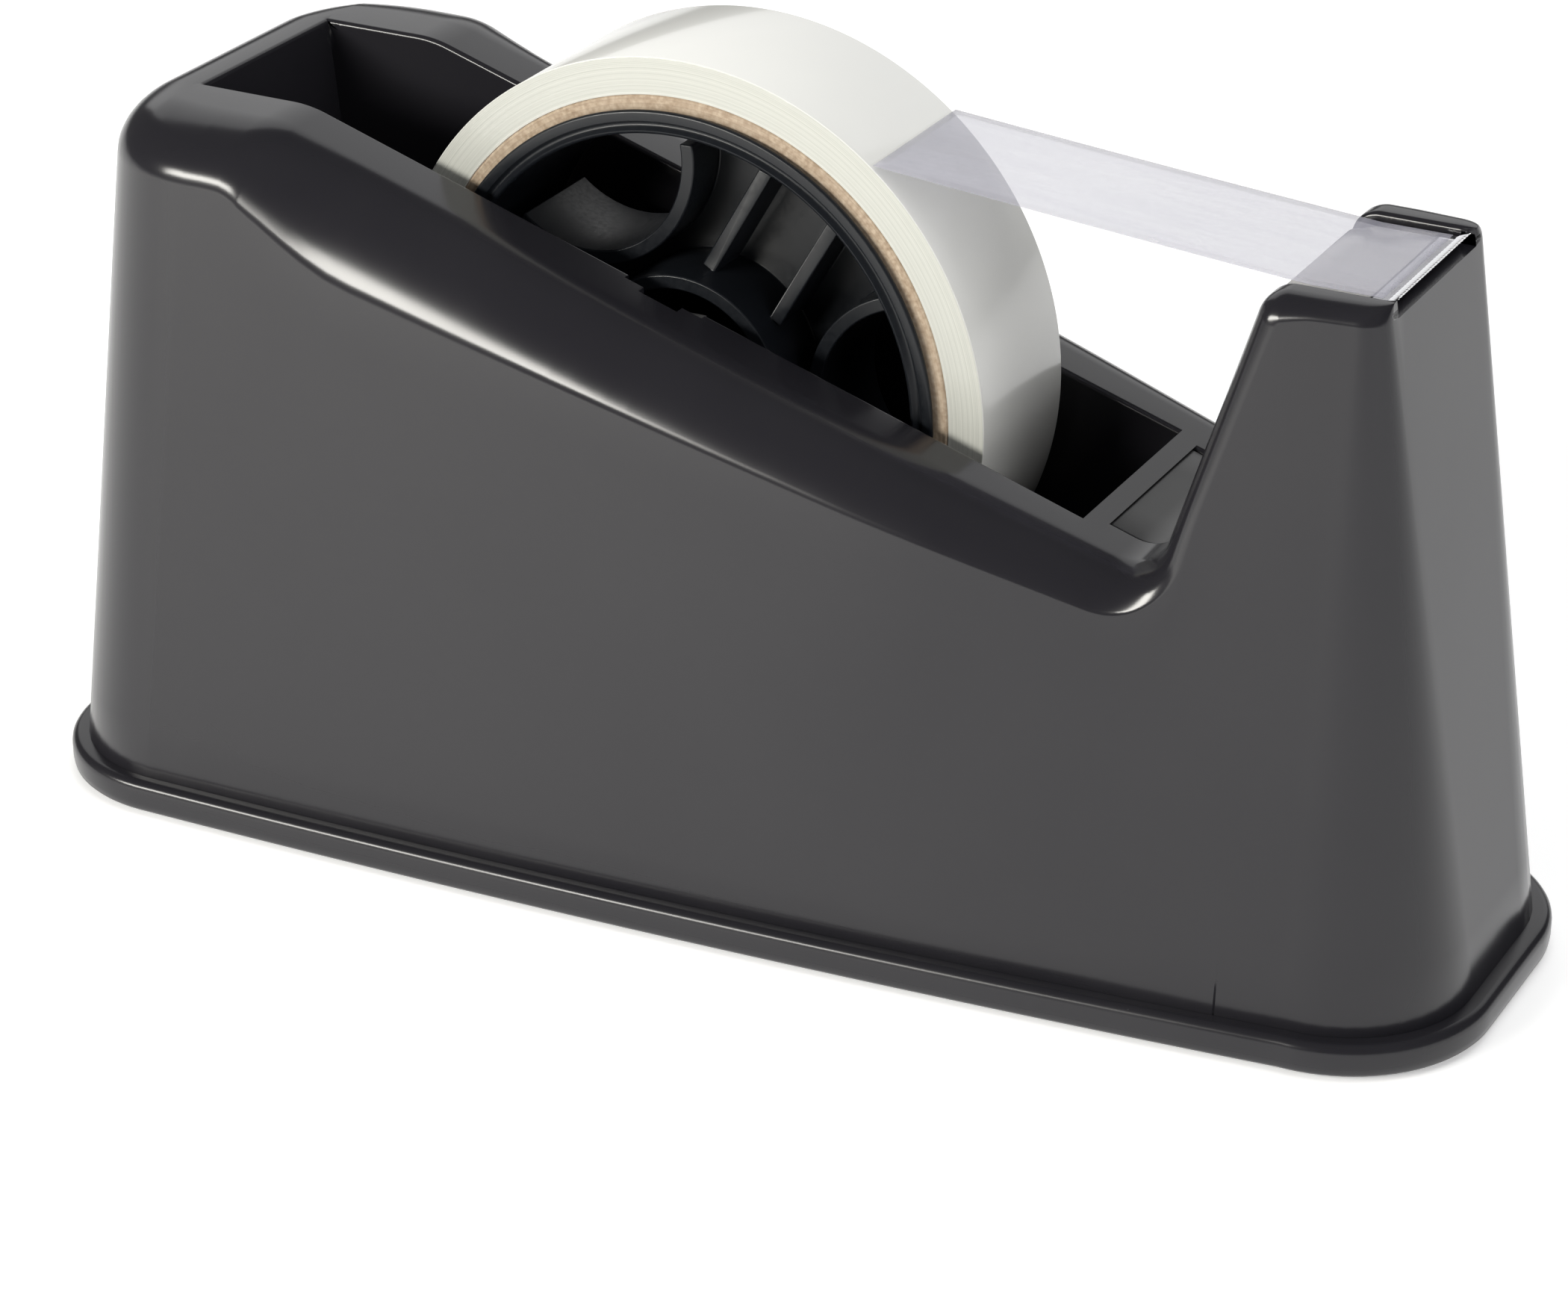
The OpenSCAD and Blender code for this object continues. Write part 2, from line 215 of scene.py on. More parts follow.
def join(parts):
    """Several (points, faces) pairs as one."""
    points, faces, count = [], [], 0
    for grid, quads in parts:
        points.append(grid.reshape(-1, 3))
        faces.extend((np.asarray(quads) + count).tolist())
        count += len(points[-1])
    return np.concatenate(points), faces


def arc(centre, radius, a0, a1, steps):
    """Points of an arc in a plane, from angle a0 to a1 in degrees."""
    a = np.radians(np.linspace(a0, a1, steps))
    return np.stack([centre[0] + radius * np.cos(a), centre[1] + radius * np.sin(a)], -1)


def revolve(profile, steps):
    """A closed (radius, y) profile turned about the axle: x = r cos t, z = r sin t."""
    t = np.linspace(0, 2 * math.pi, steps, endpoint=False)[:, None]
    r, y = profile.T
    points = np.stack([ROLL_X + r * np.cos(t), y + 0 * t, ROLL_Z + r * np.sin(t)], -1)
    quads = grid_faces(steps + 1, len(r), closed=True) % (steps * len(r))
    return points.reshape(-1, 3), quads.tolist()


def add_modifier(made, kind, **values):
    """Adds one modifier with its values set."""
    modifier = made.modifiers.new(kind.title(), kind)
    for key, value in values.items():
        setattr(modifier, key, value)


# ------------------------------------------------------------------ materials

MID_NOISE = (0.3, 0.7)
WHOLE = (0, 1)


class Value:
    """A shader socket that adds a Math node for each operator used on it."""

    def __init__(self, tree, socket):
        self.tree = tree
        self.socket = socket

    def math(self, operation, *others):
        node = self.tree.nodes.new("ShaderNodeMath")
        node.operation = operation
        for slot, value in zip(node.inputs, (self, *others)):
            connect(self.tree, slot, value)
        return Value(self.tree, node.outputs[0])

    def __add__(self, other):
        return self.math("ADD", other)

    def __mul__(self, other):
        return self.math("MULTIPLY", other)

    __radd__ = __add__
    __rmul__ = __mul__


def connect(tree, socket, value):
    """Links a Value to a socket, or sets the socket to a plain value."""
    if isinstance(value, Value):
        tree.links.new(value.socket, socket)
    else:
        socket.default_value = value


class Finish:
    """One material: a Principled surface and the nodes that feed it."""

    def __init__(self, name, **plain):
        self.material = bpy.data.materials.new(name)
        self.material.use_nodes = True
        self.tree = self.material.node_tree
        self.surface = self.tree.nodes["Principled BSDF"]
        for key, value in plain.items():
            self.set(key.replace("_", " "), value)

    def set(self, name, value):
        """Feeds one socket of the surface."""
        connect(self.tree, self.surface.inputs[name], value)

    def node(self, kind, inputs, settings=None, out=0):
        """Adds a node: its settings first, then its sockets' values or links by name or number."""
        node = self.tree.nodes.new("ShaderNode" + kind)
        for key, value in (settings or {}).items():
            setattr(node, key, value)
        for key, value in inputs.items():
            connect(self.tree, node.inputs[key], value)
        return Value(self.tree, node.outputs[out])

    def place(self):
        """The point on the piece, in metres."""
        return self.node("TexCoord", {}, out="Object")

    def stretched(self, scale):
        """The point on the piece, scaled along each axis."""
        return self.node("Mapping", {"Vector": self.place(), "Scale": scale})

    def noise(self, scale, detail, where=None):
        """Cloudy noise from 0 to 1 with scale cells to the metre."""
        where = where or self.place()
        return self.node("TexNoise", {"Vector": where, "Scale": scale, "Detail": detail})

    def spread(self, value, band, to):
        """Maps a value from one range to another, clamped."""
        return self.node("MapRange", dict(enumerate((value, *band, *to))))

    def blend(self, factor, first, second):
        """A colour between two colours."""
        inputs = {0: factor, 6: first, 7: second}
        return self.node("Mix", inputs, {"data_type": "RGBA"}, out=2)

    def bump(self, height, distance, strength):
        """Raises the surface by a height, at most distance metres."""
        inputs = {"Height": height, "Distance": distance, "Strength": strength}
        self.set("Normal", self.node("Bump", inputs))

    def vector(self, operation, *values, out=0):
        """A Vector Math node."""
        return self.node("VectorMath", dict(enumerate(values)), {"operation": operation}, out)

    def from_axle(self):
        """The distance from the roll's axle, in metres."""
        shifted = self.vector("SUBTRACT", self.place(), (ROLL_X * MM, 0, ROLL_Z * MM))
        flat = self.vector("MULTIPLY", shifted, (1, 0, 1))
        return self.vector("LENGTH", flat, out="Value")


def rgb(r, g, b):
    """A colour without transparency."""
    return (r, g, b, 1.0)


def scaled(tone, factor):
    """A tone made darker or lighter."""
    return rgb(*(factor * part for part in tone))


def moulded_black(name, rough):
    """Polished black moulding: a faint moulded ripple and cloudy, finger-polished patches."""
    deep, pale = rgb(0.0125, 0.0120, 0.0150), rgb(0.017, 0.0165, 0.0195)
    wear = 0.03
    f = Finish(name, IOR=1.46)
    cloud = f.noise(scale=38.0, detail=3.0)
    f.set("Base Color", f.blend(cloud, deep, pale))
    f.set("Roughness", f.spread(cloud, MID_NOISE, (rough - wear, rough + wear)))
    f.bump(f.noise(scale=420.0, detail=2.0), distance=0.00002, strength=0.12)
    return f.material


def panel_black():
    """The slightly softer black of the snap-in panel."""
    deep, pale = rgb(0.014, 0.014, 0.015), rgb(0.022, 0.022, 0.023)
    f = Finish("panel_black", IOR=1.5)
    cloud = f.noise(scale=60.0, detail=3.0)
    f.set("Base Color", f.blend(cloud, deep, pale))
    f.set("Roughness", f.spread(cloud, MID_NOISE, (0.26, 0.34)))
    f.bump(f.noise(scale=900.0, detail=2.0), distance=0.00003, strength=0.15)
    return f.material


def satin_black(name, tone, rough, grain):
    """Satin black moulding with a fine spark-eroded grain."""
    wear = 0.05
    f = Finish(name, IOR=1.40)
    speck = f.noise(grain, detail=4.0)
    f.set("Base Color", f.blend(speck, rgb(*tone), scaled(tone, 1.35)))
    f.set("Roughness", f.spread(speck, MID_NOISE, (rough - wear, rough + wear)))
    f.bump(speck, distance=0.00002, strength=0.12)
    return f.material


def bright_metal(name, tone, rough, stretch):
    """Rolled bright metal: fine lines along Y, drawn by a stretched noise."""
    f = Finish(name, Metallic=1.0)
    lines = f.noise(1000.0, 3.0, f.stretched(stretch))
    f.set("Base Color", f.blend(lines, scaled(tone, 0.9), rgb(*tone)))
    f.set("Roughness", f.spread(lines, (0.25, 0.75), (rough * 0.7, rough * 1.4)))
    f.bump(lines, distance=0.00001, strength=0.3)
    return f.material


def wound_card():
    """Brown board: plies around the axle, with flecks of fibre and paler patches."""
    dark, light = rgb(0.28, 0.205, 0.14), rgb(0.47, 0.38, 0.285)
    pale, shade = rgb(0.44, 0.36, 0.28), rgb(0.22, 0.165, 0.12)
    f = Finish("wound_card", Roughness=0.92, IOR=1.3)
    fleck = f.noise(scale=1500.0, detail=5.0)
    patch = f.noise(scale=160.0, detail=3.0)
    plies = (f.from_axle() * 9000.0).math("SINE")
    tone = f.blend(f.spread(fleck, MID_NOISE, WHOLE), dark, light)
    tone = f.blend(f.spread(patch, (0.35, 0.7), (0, 0.35)), tone, pale)
    f.set("Base Color", f.blend(f.spread(plies, (0.55, 1), (0, 0.25)), tone, shade))
    f.bump(fleck + plies * 0.3, distance=0.00006, strength=0.6)
    return f.material


def wound_film():
    """The wound tape: clear film over film, cloudy white, with fine windings on its sides."""
    side_dark, side_light = rgb(0.42, 0.425, 0.39), rgb(0.50, 0.505, 0.465)
    outer_dark, outer_light = rgb(0.80, 0.80, 0.765), rgb(0.87, 0.87, 0.835)
    f = Finish("wound_film", IOR=1.46, Roughness=0.2, Coat_Weight=0.35, Coat_Roughness=0.06)
    winding = {"W": f.from_axle(), "Scale": 5200.0, "Detail": 3.0}
    turns = f.node("TexNoise", winding, {"noise_dimensions": "1D"})
    cloud = f.noise(scale=26.0, detail=2.0)
    facing = f.node("SeparateXYZ", {0: f.node("NewGeometry", {}, out="Normal")}, out="Y")
    on_side = f.spread(facing.math("ABSOLUTE"), (0.6, 0.9), WHOLE)
    sides = f.blend(f.spread(turns, (0.35, 0.65), WHOLE), side_dark, side_light)
    outer = f.blend(cloud, outer_dark, outer_light)
    f.set("Base Color", f.blend(on_side, outer, sides))
    f.set("Roughness", f.spread(on_side, WHOLE, (0.16, 0.5)))
    f.bump(turns * on_side + cloud * 0.05, distance=0.00006, strength=0.35)
    return f.material


def clear_film():
    """The free length of film: thin, faintly lilac, with long soft streaks."""
    dark, light = rgb(0.50, 0.495, 0.58), rgb(0.58, 0.575, 0.66)
    f = Finish("clear_film", IOR=1.45)
    streak = f.noise(260.0, 3.0, f.stretched((0.15, 1.0, 0.15)))
    f.set("Base Color", f.blend(streak, dark, light))
    f.set("Roughness", f.spread(streak, MID_NOISE, (0.1, 0.2)))
    f.set("Alpha", f.spread(streak, MID_NOISE, (0.35, 0.41)))
    f.bump(streak, distance=0.00004, strength=0.2)
    return f.material


def cast_iron():
    """The ballast: dark, gritty metal as it left the mould."""
    f = Finish("cast_iron", Metallic=0.6)
    grit = f.noise(scale=700.0, detail=6.0)
    f.set("Base Color", f.blend(grit, rgb(0.09, 0.085, 0.08), rgb(0.2, 0.19, 0.18)))
    f.set("Roughness", f.spread(grit, MID_NOISE, (0.5, 0.75)))
    f.bump(grit, distance=0.0002, strength=0.6)
    return f.material


def foam_rubber():
    """The pad: dull black foam with small open cells."""
    f = Finish("foam_rubber", Roughness=0.95)
    cell = f.node("TexVoronoi", {"Vector": f.place(), "Scale": 1400.0})
    f.set("Base Color", f.blend(cell, rgb(0.02, 0.02, 0.02), rgb(0.05, 0.05, 0.05)))
    f.bump(cell, distance=0.0001, strength=0.7)
    return f.material


ROLLED = (0.6, 0.04, 1.0)
DRAWN = (1.0, 0.1, 1.0)
BODY_FINISH = moulded_black("gloss_black", rough=0.19)
PANEL_FINISH = panel_black()
BASE_FINISH = moulded_black("base_black", rough=0.25)
HUB_FINISH = satin_black("hub_black", (0.006, 0.007, 0.009), rough=0.34, grain=1500.0)
PLATE_FINISH = bright_metal("plate_metal", (0.86, 0.85, 0.80), 0.16, ROLLED)
BLADE_FINISH = bright_metal("blade_metal", (0.90, 0.90, 0.92), 0.10, ROLLED)
STEEL_FINISH = bright_metal("axle_steel", (0.62, 0.62, 0.64), 0.25, DRAWN)
CARD_FINISH = wound_card()
WOUND_FINISH = wound_film()
FILM_FINISH = clear_film()


# ------------------------------------------------------------------ body outline


def ease(x, start, run):
    """0 before start, 1 after start + run, and 3t^2 - 2t^3 between."""
    t = np.clip((x - start) / run, 0, 1)
    return t * t * (3 - 2 * t)


def side_half(x, z, inset):
    """Half width at (x, z): a bowed, tapered base that draws in with height."""
    u = x / HALF_L
    drawn = SIDE_DRAFT + TOWER_DRAFT * ease(x, TOWER_DRAFT_X, TOWER_DRAFT_RUN)
    return MID_HALF - SIDE_TAPER * u - SIDE_BOW * u * u - inset - drawn * z / BODY_H


def wall_point(end, turned, z, inset):
    """A point of the outer wall at height z on a corner: end is 1 in front and -1 behind.

    turned goes from 0, on the flat end beside the corner, to 90 degrees, where the side starts.
    The corner is an arc of radius r that touches the side, and r and the end's x fall with z.
    """
    t = np.radians(turned)
    crisp, lean = (FRONT_CRISP, FRONT_LEAN) if end > 0 else (REAR_CRISP, REAR_LEAN)
    r = np.maximum(CORNER_R - inset - crisp * z / BODY_H, LEAST_R)
    x = end * (HALF_L - inset - lean * z / BODY_H - r)
    half = side_half(x, z, inset)
    return np.stack([x + end * r * np.cos(t), half - r + r * np.sin(t), z + 0 * r], -1)


def side_end(end, z):
    """The x at which the shell's side meets a corner, at height z."""
    return wall_point(end, 90, np.array(z), LEDGE)[0]


def plan_loop(inset, steps, side_steps):
    """The closed outline of the base at an inset, as (x, y), starting at the front."""
    front = wall_point(1, np.linspace(0, 90, steps), np.zeros(steps), inset)[:, :2]
    rear = wall_point(-1, np.linspace(90, 0, steps), np.zeros(steps), inset)[:, :2]
    x = np.linspace(front[-1, 0], rear[0, 0], side_steps)[1:-1]
    side = np.stack([x, side_half(x, 0, inset)], -1)
    half = np.concatenate([front, side, rear])
    return np.concatenate([half, half[::-1] * [1, -1]])


def heading(a):
    """The unit vector at an angle, in degrees."""
    return np.array([math.cos(math.radians(a)), math.sin(math.radians(a))])


def meet(p, a, q, b):
    """Where the line through p at heading a meets the line through q at heading b."""
    gap = np.subtract(q, p)
    across = math.sin(math.radians(b - a))
    along = gap[0] * heading(b)[1] - gap[1] * heading(b)[0]
    return np.asarray(p, float) + heading(a) * along / across


def rounded(corner, a, b, radius, steps):
    """The arc that turns heading a into heading b at a corner, and its upward normals."""
    side = math.copysign(1, b - a)
    start = corner - heading(a) * radius * math.tan(math.radians(abs(b - a) / 2))
    left = heading(a + 90)
    turned = np.radians(np.linspace(a, b, steps) + 90)
    normals = np.stack([np.cos(turned), np.sin(turned)], -1)
    return start + side * radius * left - side * radius * normals, normals


def between(p, q, t):
    """The points at the shares t of the line from p to q, and the line's normal at each."""
    points = np.asarray(p) * (1 - t[:, None]) + np.asarray(q) * t[:, None]
    run = np.subtract(q, p) / np.linalg.norm(np.subtract(q, p))
    return points, np.repeat([[-run[1], run[0]]], len(t), 0)


def inside(steps):
    """Even shares of a line without its two ends."""
    return np.linspace(0, 1, steps + 2)[1:-1]


def slope_shares(start, end):
    """Shares of the slope: even ones, some over the axle, and a pair where the rim jumps."""
    jumps = [WELL_FRONT, SEAM_X] + [ROLL_X + k * AXLE_R for k in (-2, -1, 1, 2)]
    stops = [x + k * NUDGE for x in jumps for k in (-1, 1)]
    stops += [ROLL_X + k * AXLE_R for k in (-0.8, -0.4, 0, 0.4, 0.8)]
    return np.sort(np.concatenate([(np.array(stops) - start) / (end - start), inside(32)]))


def rim_path():
    """The rim in side view, tail to tower: crest, long slope, valley, tower face, tower crest."""
    crest = meet((0, BODY_H), 0, RIM_START, RIM_FALL)
    valley = meet(RIM_START, RIM_FALL, (TOWER_X, BODY_H), TOWER_RISE)
    tower = meet((TOWER_X, BODY_H), TOWER_RISE, (0, BODY_H), 0)
    crest_turn = rounded(crest, 0, RIM_FALL, CREST_R, steps=10)
    valley_turn = rounded(valley, RIM_FALL, TOWER_RISE, VALLEY_R, steps=18)
    tower_turn = rounded(tower, TOWER_RISE, 0, TOWER_R, steps=12)
    rear = (side_end(-1, BODY_H), BODY_H)
    front = (side_end(1, BODY_H - CREST_DROP), BODY_H)
    slope_from, slope_to = crest_turn[0][-1], valley_turn[0][0]
    tail_t = np.concatenate([[0], inside(3)])
    tower_t = np.concatenate([inside(4), [1]])
    parts = [between(rear, crest_turn[0][0], tail_t), crest_turn,
             between(slope_from, slope_to, slope_shares(slope_from[0], slope_to[0])), valley_turn,
             between(valley_turn[0][-1], tower_turn[0][0], inside(14)), tower_turn,
             between(tower_turn[0][-1], front, tower_t)]
    return np.concatenate([p for p, _ in parts]), np.concatenate([n for _, n in parts])


def roll_drop(x):
    """How far the shoulder reaches down the side at x.

    It deepens behind the roll, shrinks along the slope, and eases into the tower's own drop,
    which grows to the whole height of the plate's recess on the crest.
    """
    haunch = TAIL_DROP + HAUNCH_DROP * ease(x, HAUNCH_X, HAUNCH_RUN)
    side = haunch - SLOPE_LOSS * np.clip((x - SLOPE_X) / SLOPE_RUN, 0, 1)
    tower = TOWER_DROP + (CREST_DROP - TOWER_DROP) * ease(x, TOWER_X, TOWER_RUN)
    return side + (tower - side) * ease(x, VALLEY_X, VALLEY_RUN)


def crease_turn(x):
    """The angle at which the shoulder starts, which leaves a crease along the slope only."""
    ended = ease(x, VALLEY_X, CREASE_END_RUN)
    return CREASE_TURN * ease(x, CREASE_X, CREASE_RUN) * (1 - ended)


def run_share(line):
    """The share of a line's whole length that is behind each of its points."""
    run = np.concatenate([[0], np.cumsum(np.linalg.norm(np.diff(line, axis=0), axis=1))])
    return run / run[-1]


def well_path(t):
    """The well in side view at shares t: down its rear, along the floor and up its front."""
    rear_a, front_a = WELL_LEAN - 90, 90 - WELL_LEAN
    rim_z = meet(RIM_START, RIM_FALL, (WELL_FRONT, 0), 90)[1]
    rear = np.array([WELL_REAR, BODY_H - EDGE])
    front = np.array([WELL_FRONT, rim_z - EDGE])
    foot = meet(rear, rear_a, (0, WELL_FLOOR), 0)
    toe = meet((0, WELL_FLOOR), 0, front, front_a)
    line = np.concatenate([[rear], rounded(foot, rear_a, 0, WELL_FOOT_R, steps=12)[0],
                           rounded(toe, 0, front_a, WELL_FOOT_R, steps=12)[0], [front]])
    share = run_share(line)
    return np.interp(t, share, line[:, 0]), np.interp(t, share, line[:, 1])


# ------------------------------------------------------------------ body shell


def lifted(x, y, z):
    """Points from three coordinates, of which any may be one number for all."""
    return np.stack(np.broadcast_arrays(x, y, z), -1).astype(float)


def side_columns():
    """The side's foot, crease and unrounded top, then the rim's upward normals, tail to tower.

    The crease lies roll_drop below the rim along its normal, and never turns back in x. A foot's
    share of the side is the crease's share in x, by FOOT_BY_X, and in length, by the rest.
    """
    path, normal = rim_path()
    sink = path - normal * roll_drop(path[:, 0])[:, None]
    sink[:, 0] = np.maximum.accumulate(sink[:, 0])
    share = (sink[:, 0] - sink[0, 0]) / (sink[-1, 0] - sink[0, 0])
    rear, front = side_end(-1, BASE_H), side_end(1, BASE_H)
    foot_x = rear + (front - rear) * (FOOT_BY_X * share + (1 - FOOT_BY_X) * run_share(sink))
    levels = ((foot_x, BASE_H), sink.T, path.T)
    columns = [lifted(x, side_half(x, z, LEDGE), z) for x, z in levels]
    return columns, lifted(normal[:, 0], 0, normal[:, 1])


def corner_columns(end, turned, drop):
    """A corner's foot, crease and unrounded top, for each angle turned."""
    return [wall_point(end, turned, np.full(len(turned), z), LEDGE)
            for z in (BASE_H, BODY_H - drop, BODY_H)]


def mouth_column(front):
    """The front column beside the channel, scaled in Y so that its top is at the channel."""
    foot, crease, top = (level[:1].copy() for level in front)
    foot[:, 1] *= CHANNEL / top[:, 1]
    crease[:, 1] = top[:, 1] = CHANNEL
    return [foot, crease, top]


def shell_rows(foot, crease, top, inner, edge, bend, away, turned):
    """The rows of the shell from its foot to the well's edge, each an array of column points.

    The wall rises straight to the crease. The shoulder is then crease + h (inner - top)
    + v (top - crease), with h = (cos a0 - cos a) / cos a0 and v = (sin a - sin a0) / (1 - sin a0),
    a from a0 to 90 degrees. A flat land follows, and a quarter round of radius EDGE, which
    rolls over from the outward direction away to the downward direction bend.
    """
    wall = [foot * (1 - t) + crease * t for t in np.linspace(0, 1, WALL_ROWS)]
    a0 = np.radians(turned)[:, None]
    shoulder = []
    for t in np.linspace(0, 1, SHOULDER_ROWS)[1:]:
        a = a0 + (math.pi / 2 - a0) * t
        h = (np.cos(a0) - np.cos(a)) / np.cos(a0)
        v = (np.sin(a) - np.sin(a0)) / (1 - np.sin(a0))
        shoulder.append(crease + h * (inner - top) + v * (top - crease))
    over = [edge + EDGE * (away * (1 - math.sin(a)) + bend * (1 - math.cos(a)))
            for a in np.linspace(0, math.pi / 2, EDGE_ROWS)]
    return wall + shoulder + [(inner + over[0]) / 2] + over


def step_towards(start, target, reach):
    """Points that go from start towards target by a reach, but not past it."""
    gap = target - start
    length = np.maximum(np.linalg.norm(gap, axis=1), NEARLY_NOTHING)[:, None]
    return start + gap / length * np.minimum(reach, length)


def below_edge(x, edge, up, ahead):
    """The rows inside the shell, from the rim's inner edge down and then across to the middle.

    In the well they go over a shelf, which is the slot's bottom at the axle, and down to the
    well's line. Before the seam they stay on the bar, and past it they drop to the channel's
    floor. ahead holds the creases of the columns in front, where the floor runs out.
    """
    in_well = x < WELL_FRONT
    off_axle = np.abs(x - ROLL_X)
    at_slot = off_axle < 2 * AXLE_R
    well_x, well_z = well_path(np.clip((x - WELL_REAR) / (WELL_FRONT - WELL_REAR), 0, 1))
    floor = edge - up * RECESS
    floor[x > CHANNEL_FROM, 2] = CHANNEL_FLOOR
    floor[:len(ahead)] = lifted(ahead[:, 0], CHANNEL, ahead[:, 2])
    base = np.where((x < SEAM_X)[:, None], edge, floor)
    base = np.where(in_well[:, None], lifted(well_x, WELL_HALF, well_z), base)
    arch = ROLL_Z - np.sqrt(np.maximum(AXLE_R ** 2 - off_axle ** 2, 0))
    slot_z = np.where(off_axle < AXLE_R, arch, ROLL_Z + SLOT_LEAD_RISE)
    t = np.where(in_well, np.where(at_slot, 0, SHELF_SHARE), 1 / 2)[:, None]
    shelf = edge * (1 - t) + base * t
    shelf[:, 2] = np.where(at_slot, slot_z, shelf[:, 2])
    shelf_end = shelf.copy()
    shelf_end[in_well, 1] = WELL_HALF
    rows = [shelf, shelf_end, (shelf_end + base) / 2, base]
    return rows + [base * [1, a, 1] for a in ACROSS[1:]]


def side_grid(front, rear):
    """The shell's main grid, whose columns run from the channel's mouth round to the tail.

    Also gives how far in the shoulder reaches at the last column, and how far it is turned.
    """
    side, normal = side_columns()
    mouth = mouth_column(front)
    foot, crease, top = (np.concatenate([m, f, s[::-1], r])
                         for m, f, s, r in zip(mouth, front, side, rear))
    ahead = 1 + len(front[0])
    spot = slice(ahead, ahead + len(normal))
    up = np.tile([0.0, 0.0, 1.0], (len(foot), 1))
    up[spot] = normal[::-1]

    # The inner edge of the rim: the channel's cheek, the bar, or the well with its slots.
    x = top[:, 0].copy()
    x[spot.stop:] = np.linspace(x[spot][-1], WELL_REAR, len(rear[0]))
    off_axle = np.abs(x - ROLL_X)
    edge_y = np.where(x > SEAM_X, CHANNEL, WELL_HALF)
    edge_y = np.where(off_axle < 2 * AXLE_R, WELL_HALF + SLOT_LEAD_DEPTH, edge_y)
    edge_y = np.where(off_axle < AXLE_R, WELL_HALF + SLOT_DEPTH, edge_y)
    edge = lifted(x, edge_y, top[:, 2])
    square = ((x > WELL_FRONT) & (x < SEAM_X)) | (off_axle < 2 * AXLE_R)
    rounding = np.where(square, 0, 1)[:, None]

    cheek = CHANNEL + (WELL_HALF - CHANNEL) * (1 - ease(x, CHEEK_X, CHEEK_RUN))
    reach = SHOULDER_SHARE * (top[:, 1] - cheek)[:, None]
    inner = step_towards(top, lifted(x, cheek, top[:, 2]), reach)
    away = np.array([0.0, 1.0, 0.0]) * rounding
    turned = crease_turn(x)
    rows = shell_rows(foot, crease, top, inner, edge, -up * rounding, away, turned)
    rows += below_edge(x, edge, up, crease[:ahead])
    return (np.stack(rows), grid_faces(len(rows), len(x))), reach[-1], turned[-1]


def brow_grid(front):
    """The front wall under the channel's mouth, from its column to the middle."""
    foot, crease, _ = mouth_column(front)
    t = np.linspace(0, 1, WALL_ROWS)[:, None, None]
    wall = (foot * (1 - t) + crease * t) * np.ones((1, len(ACROSS), 1))
    wall[:, :, 1] *= ACROSS
    return wall, grid_faces(WALL_ROWS, len(ACROSS))


def tail_grid(reach, turned):
    """The shell behind the well, from the rear corner's split to the middle.

    Round the corner the rim's inner edge stays at the well's corner, and its reach eases from
    the side's to the tail's. Then the columns cross to the middle.
    """
    corner = corner_columns(-1, TAIL_TURN, TAIL_DROP)
    across = np.stack([0 * ACROSS, ACROSS, 0 * ACROSS], -1)[1:] + [1, 0, 1]
    foot, crease, top = (np.concatenate([level, level[-1] * across]) for level in corner)
    n = len(top)
    edge_y = WELL_HALF * np.concatenate([np.ones(len(TAIL_TURN)), ACROSS[1:]])
    edge = lifted(WELL_REAR, edge_y, BODY_H)
    fade = ease(np.linspace(0, 1, n), 0, 1 / 1.6)[:, None]
    inner = step_towards(top, edge, reach * (1 - fade) + TAIL_REACH * fade)
    around = np.full(n, math.pi / 2)
    around[:len(TAIL_TURN)] = np.radians(np.linspace(0, 90, len(TAIL_TURN)))
    away = lifted(-np.sin(around), np.cos(around), 0)
    rows = shell_rows(foot, crease, top, inner, edge, np.array([0, 0, -1]), away,
                      np.full(n, turned))
    return np.stack(rows), grid_faces(len(rows), n)


def make_shell():
    """Both halves of the shell, closed along Y = 0, with a wall of even thickness."""
    front = corner_columns(1, FRONT_TURN, CREST_DROP)
    rear = corner_columns(-1, SIDE_REAR_TURN, TAIL_DROP)
    main, reach, turned = side_grid(front, rear)
    points, faces = join([main, brow_grid(front), tail_grid(reach, turned)])
    points, faces = join([(points, faces), (points * [1, -1, 1], faces)])
    shell = piece("shell", points, faces, "housing", BODY_FINISH, sharp=42)
    add_modifier(shell, "SOLIDIFY", thickness=SKIN * MM, offset=-1, use_even_offset=False)
    add_modifier(shell, "WEIGHTED_NORMAL", keep_sharp=True, weight=50)
    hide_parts("body_shell")


# ------------------------------------------------------------------ base


def make_tray():
    """The flange: a closed profile of (inset, height) carried round the plan of the base.

    Its upper edge is a soft round, its lower edge is undercut above the pad, and it runs in
    under the shell at both.
    """
    profile = np.array([[7.0, BASE_H - 0.05], [1.4, BASE_H - 0.05], [0.9, BASE_H - 0.15],
                        [0.4, BASE_H - 0.45], [0.1, BASE_H - 0.9], [0.0, BASE_H - 1.5],
                        [0.0, 2.2], [0.15, 1.2], [0.6, 0.7], [1.2, 0.5], [3.5, 0.5], [3.5, 1.5],
                        [9.0, 1.5]])
    loops = [plan_loop(inset, steps=24, side_steps=60) for inset in profile[:, 0]]
    points = np.stack([lifted(*loop.T, z) for loop, z in zip(loops, profile[:, 1])], 1)
    count, n = points.shape[:2]
    quads = grid_faces(count + 1, n) % (count * n)
    first = np.arange(count) * n
    lids = [first.tolist(), (first + n - 1)[::-1].tolist()]
    tray = piece("tray_flange", points.reshape(-1, 3), quads.tolist() + lids, "housing",
                 BASE_FINISH, sharp=40)
    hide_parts("base_tray")


# ------------------------------------------------------------------ tower top


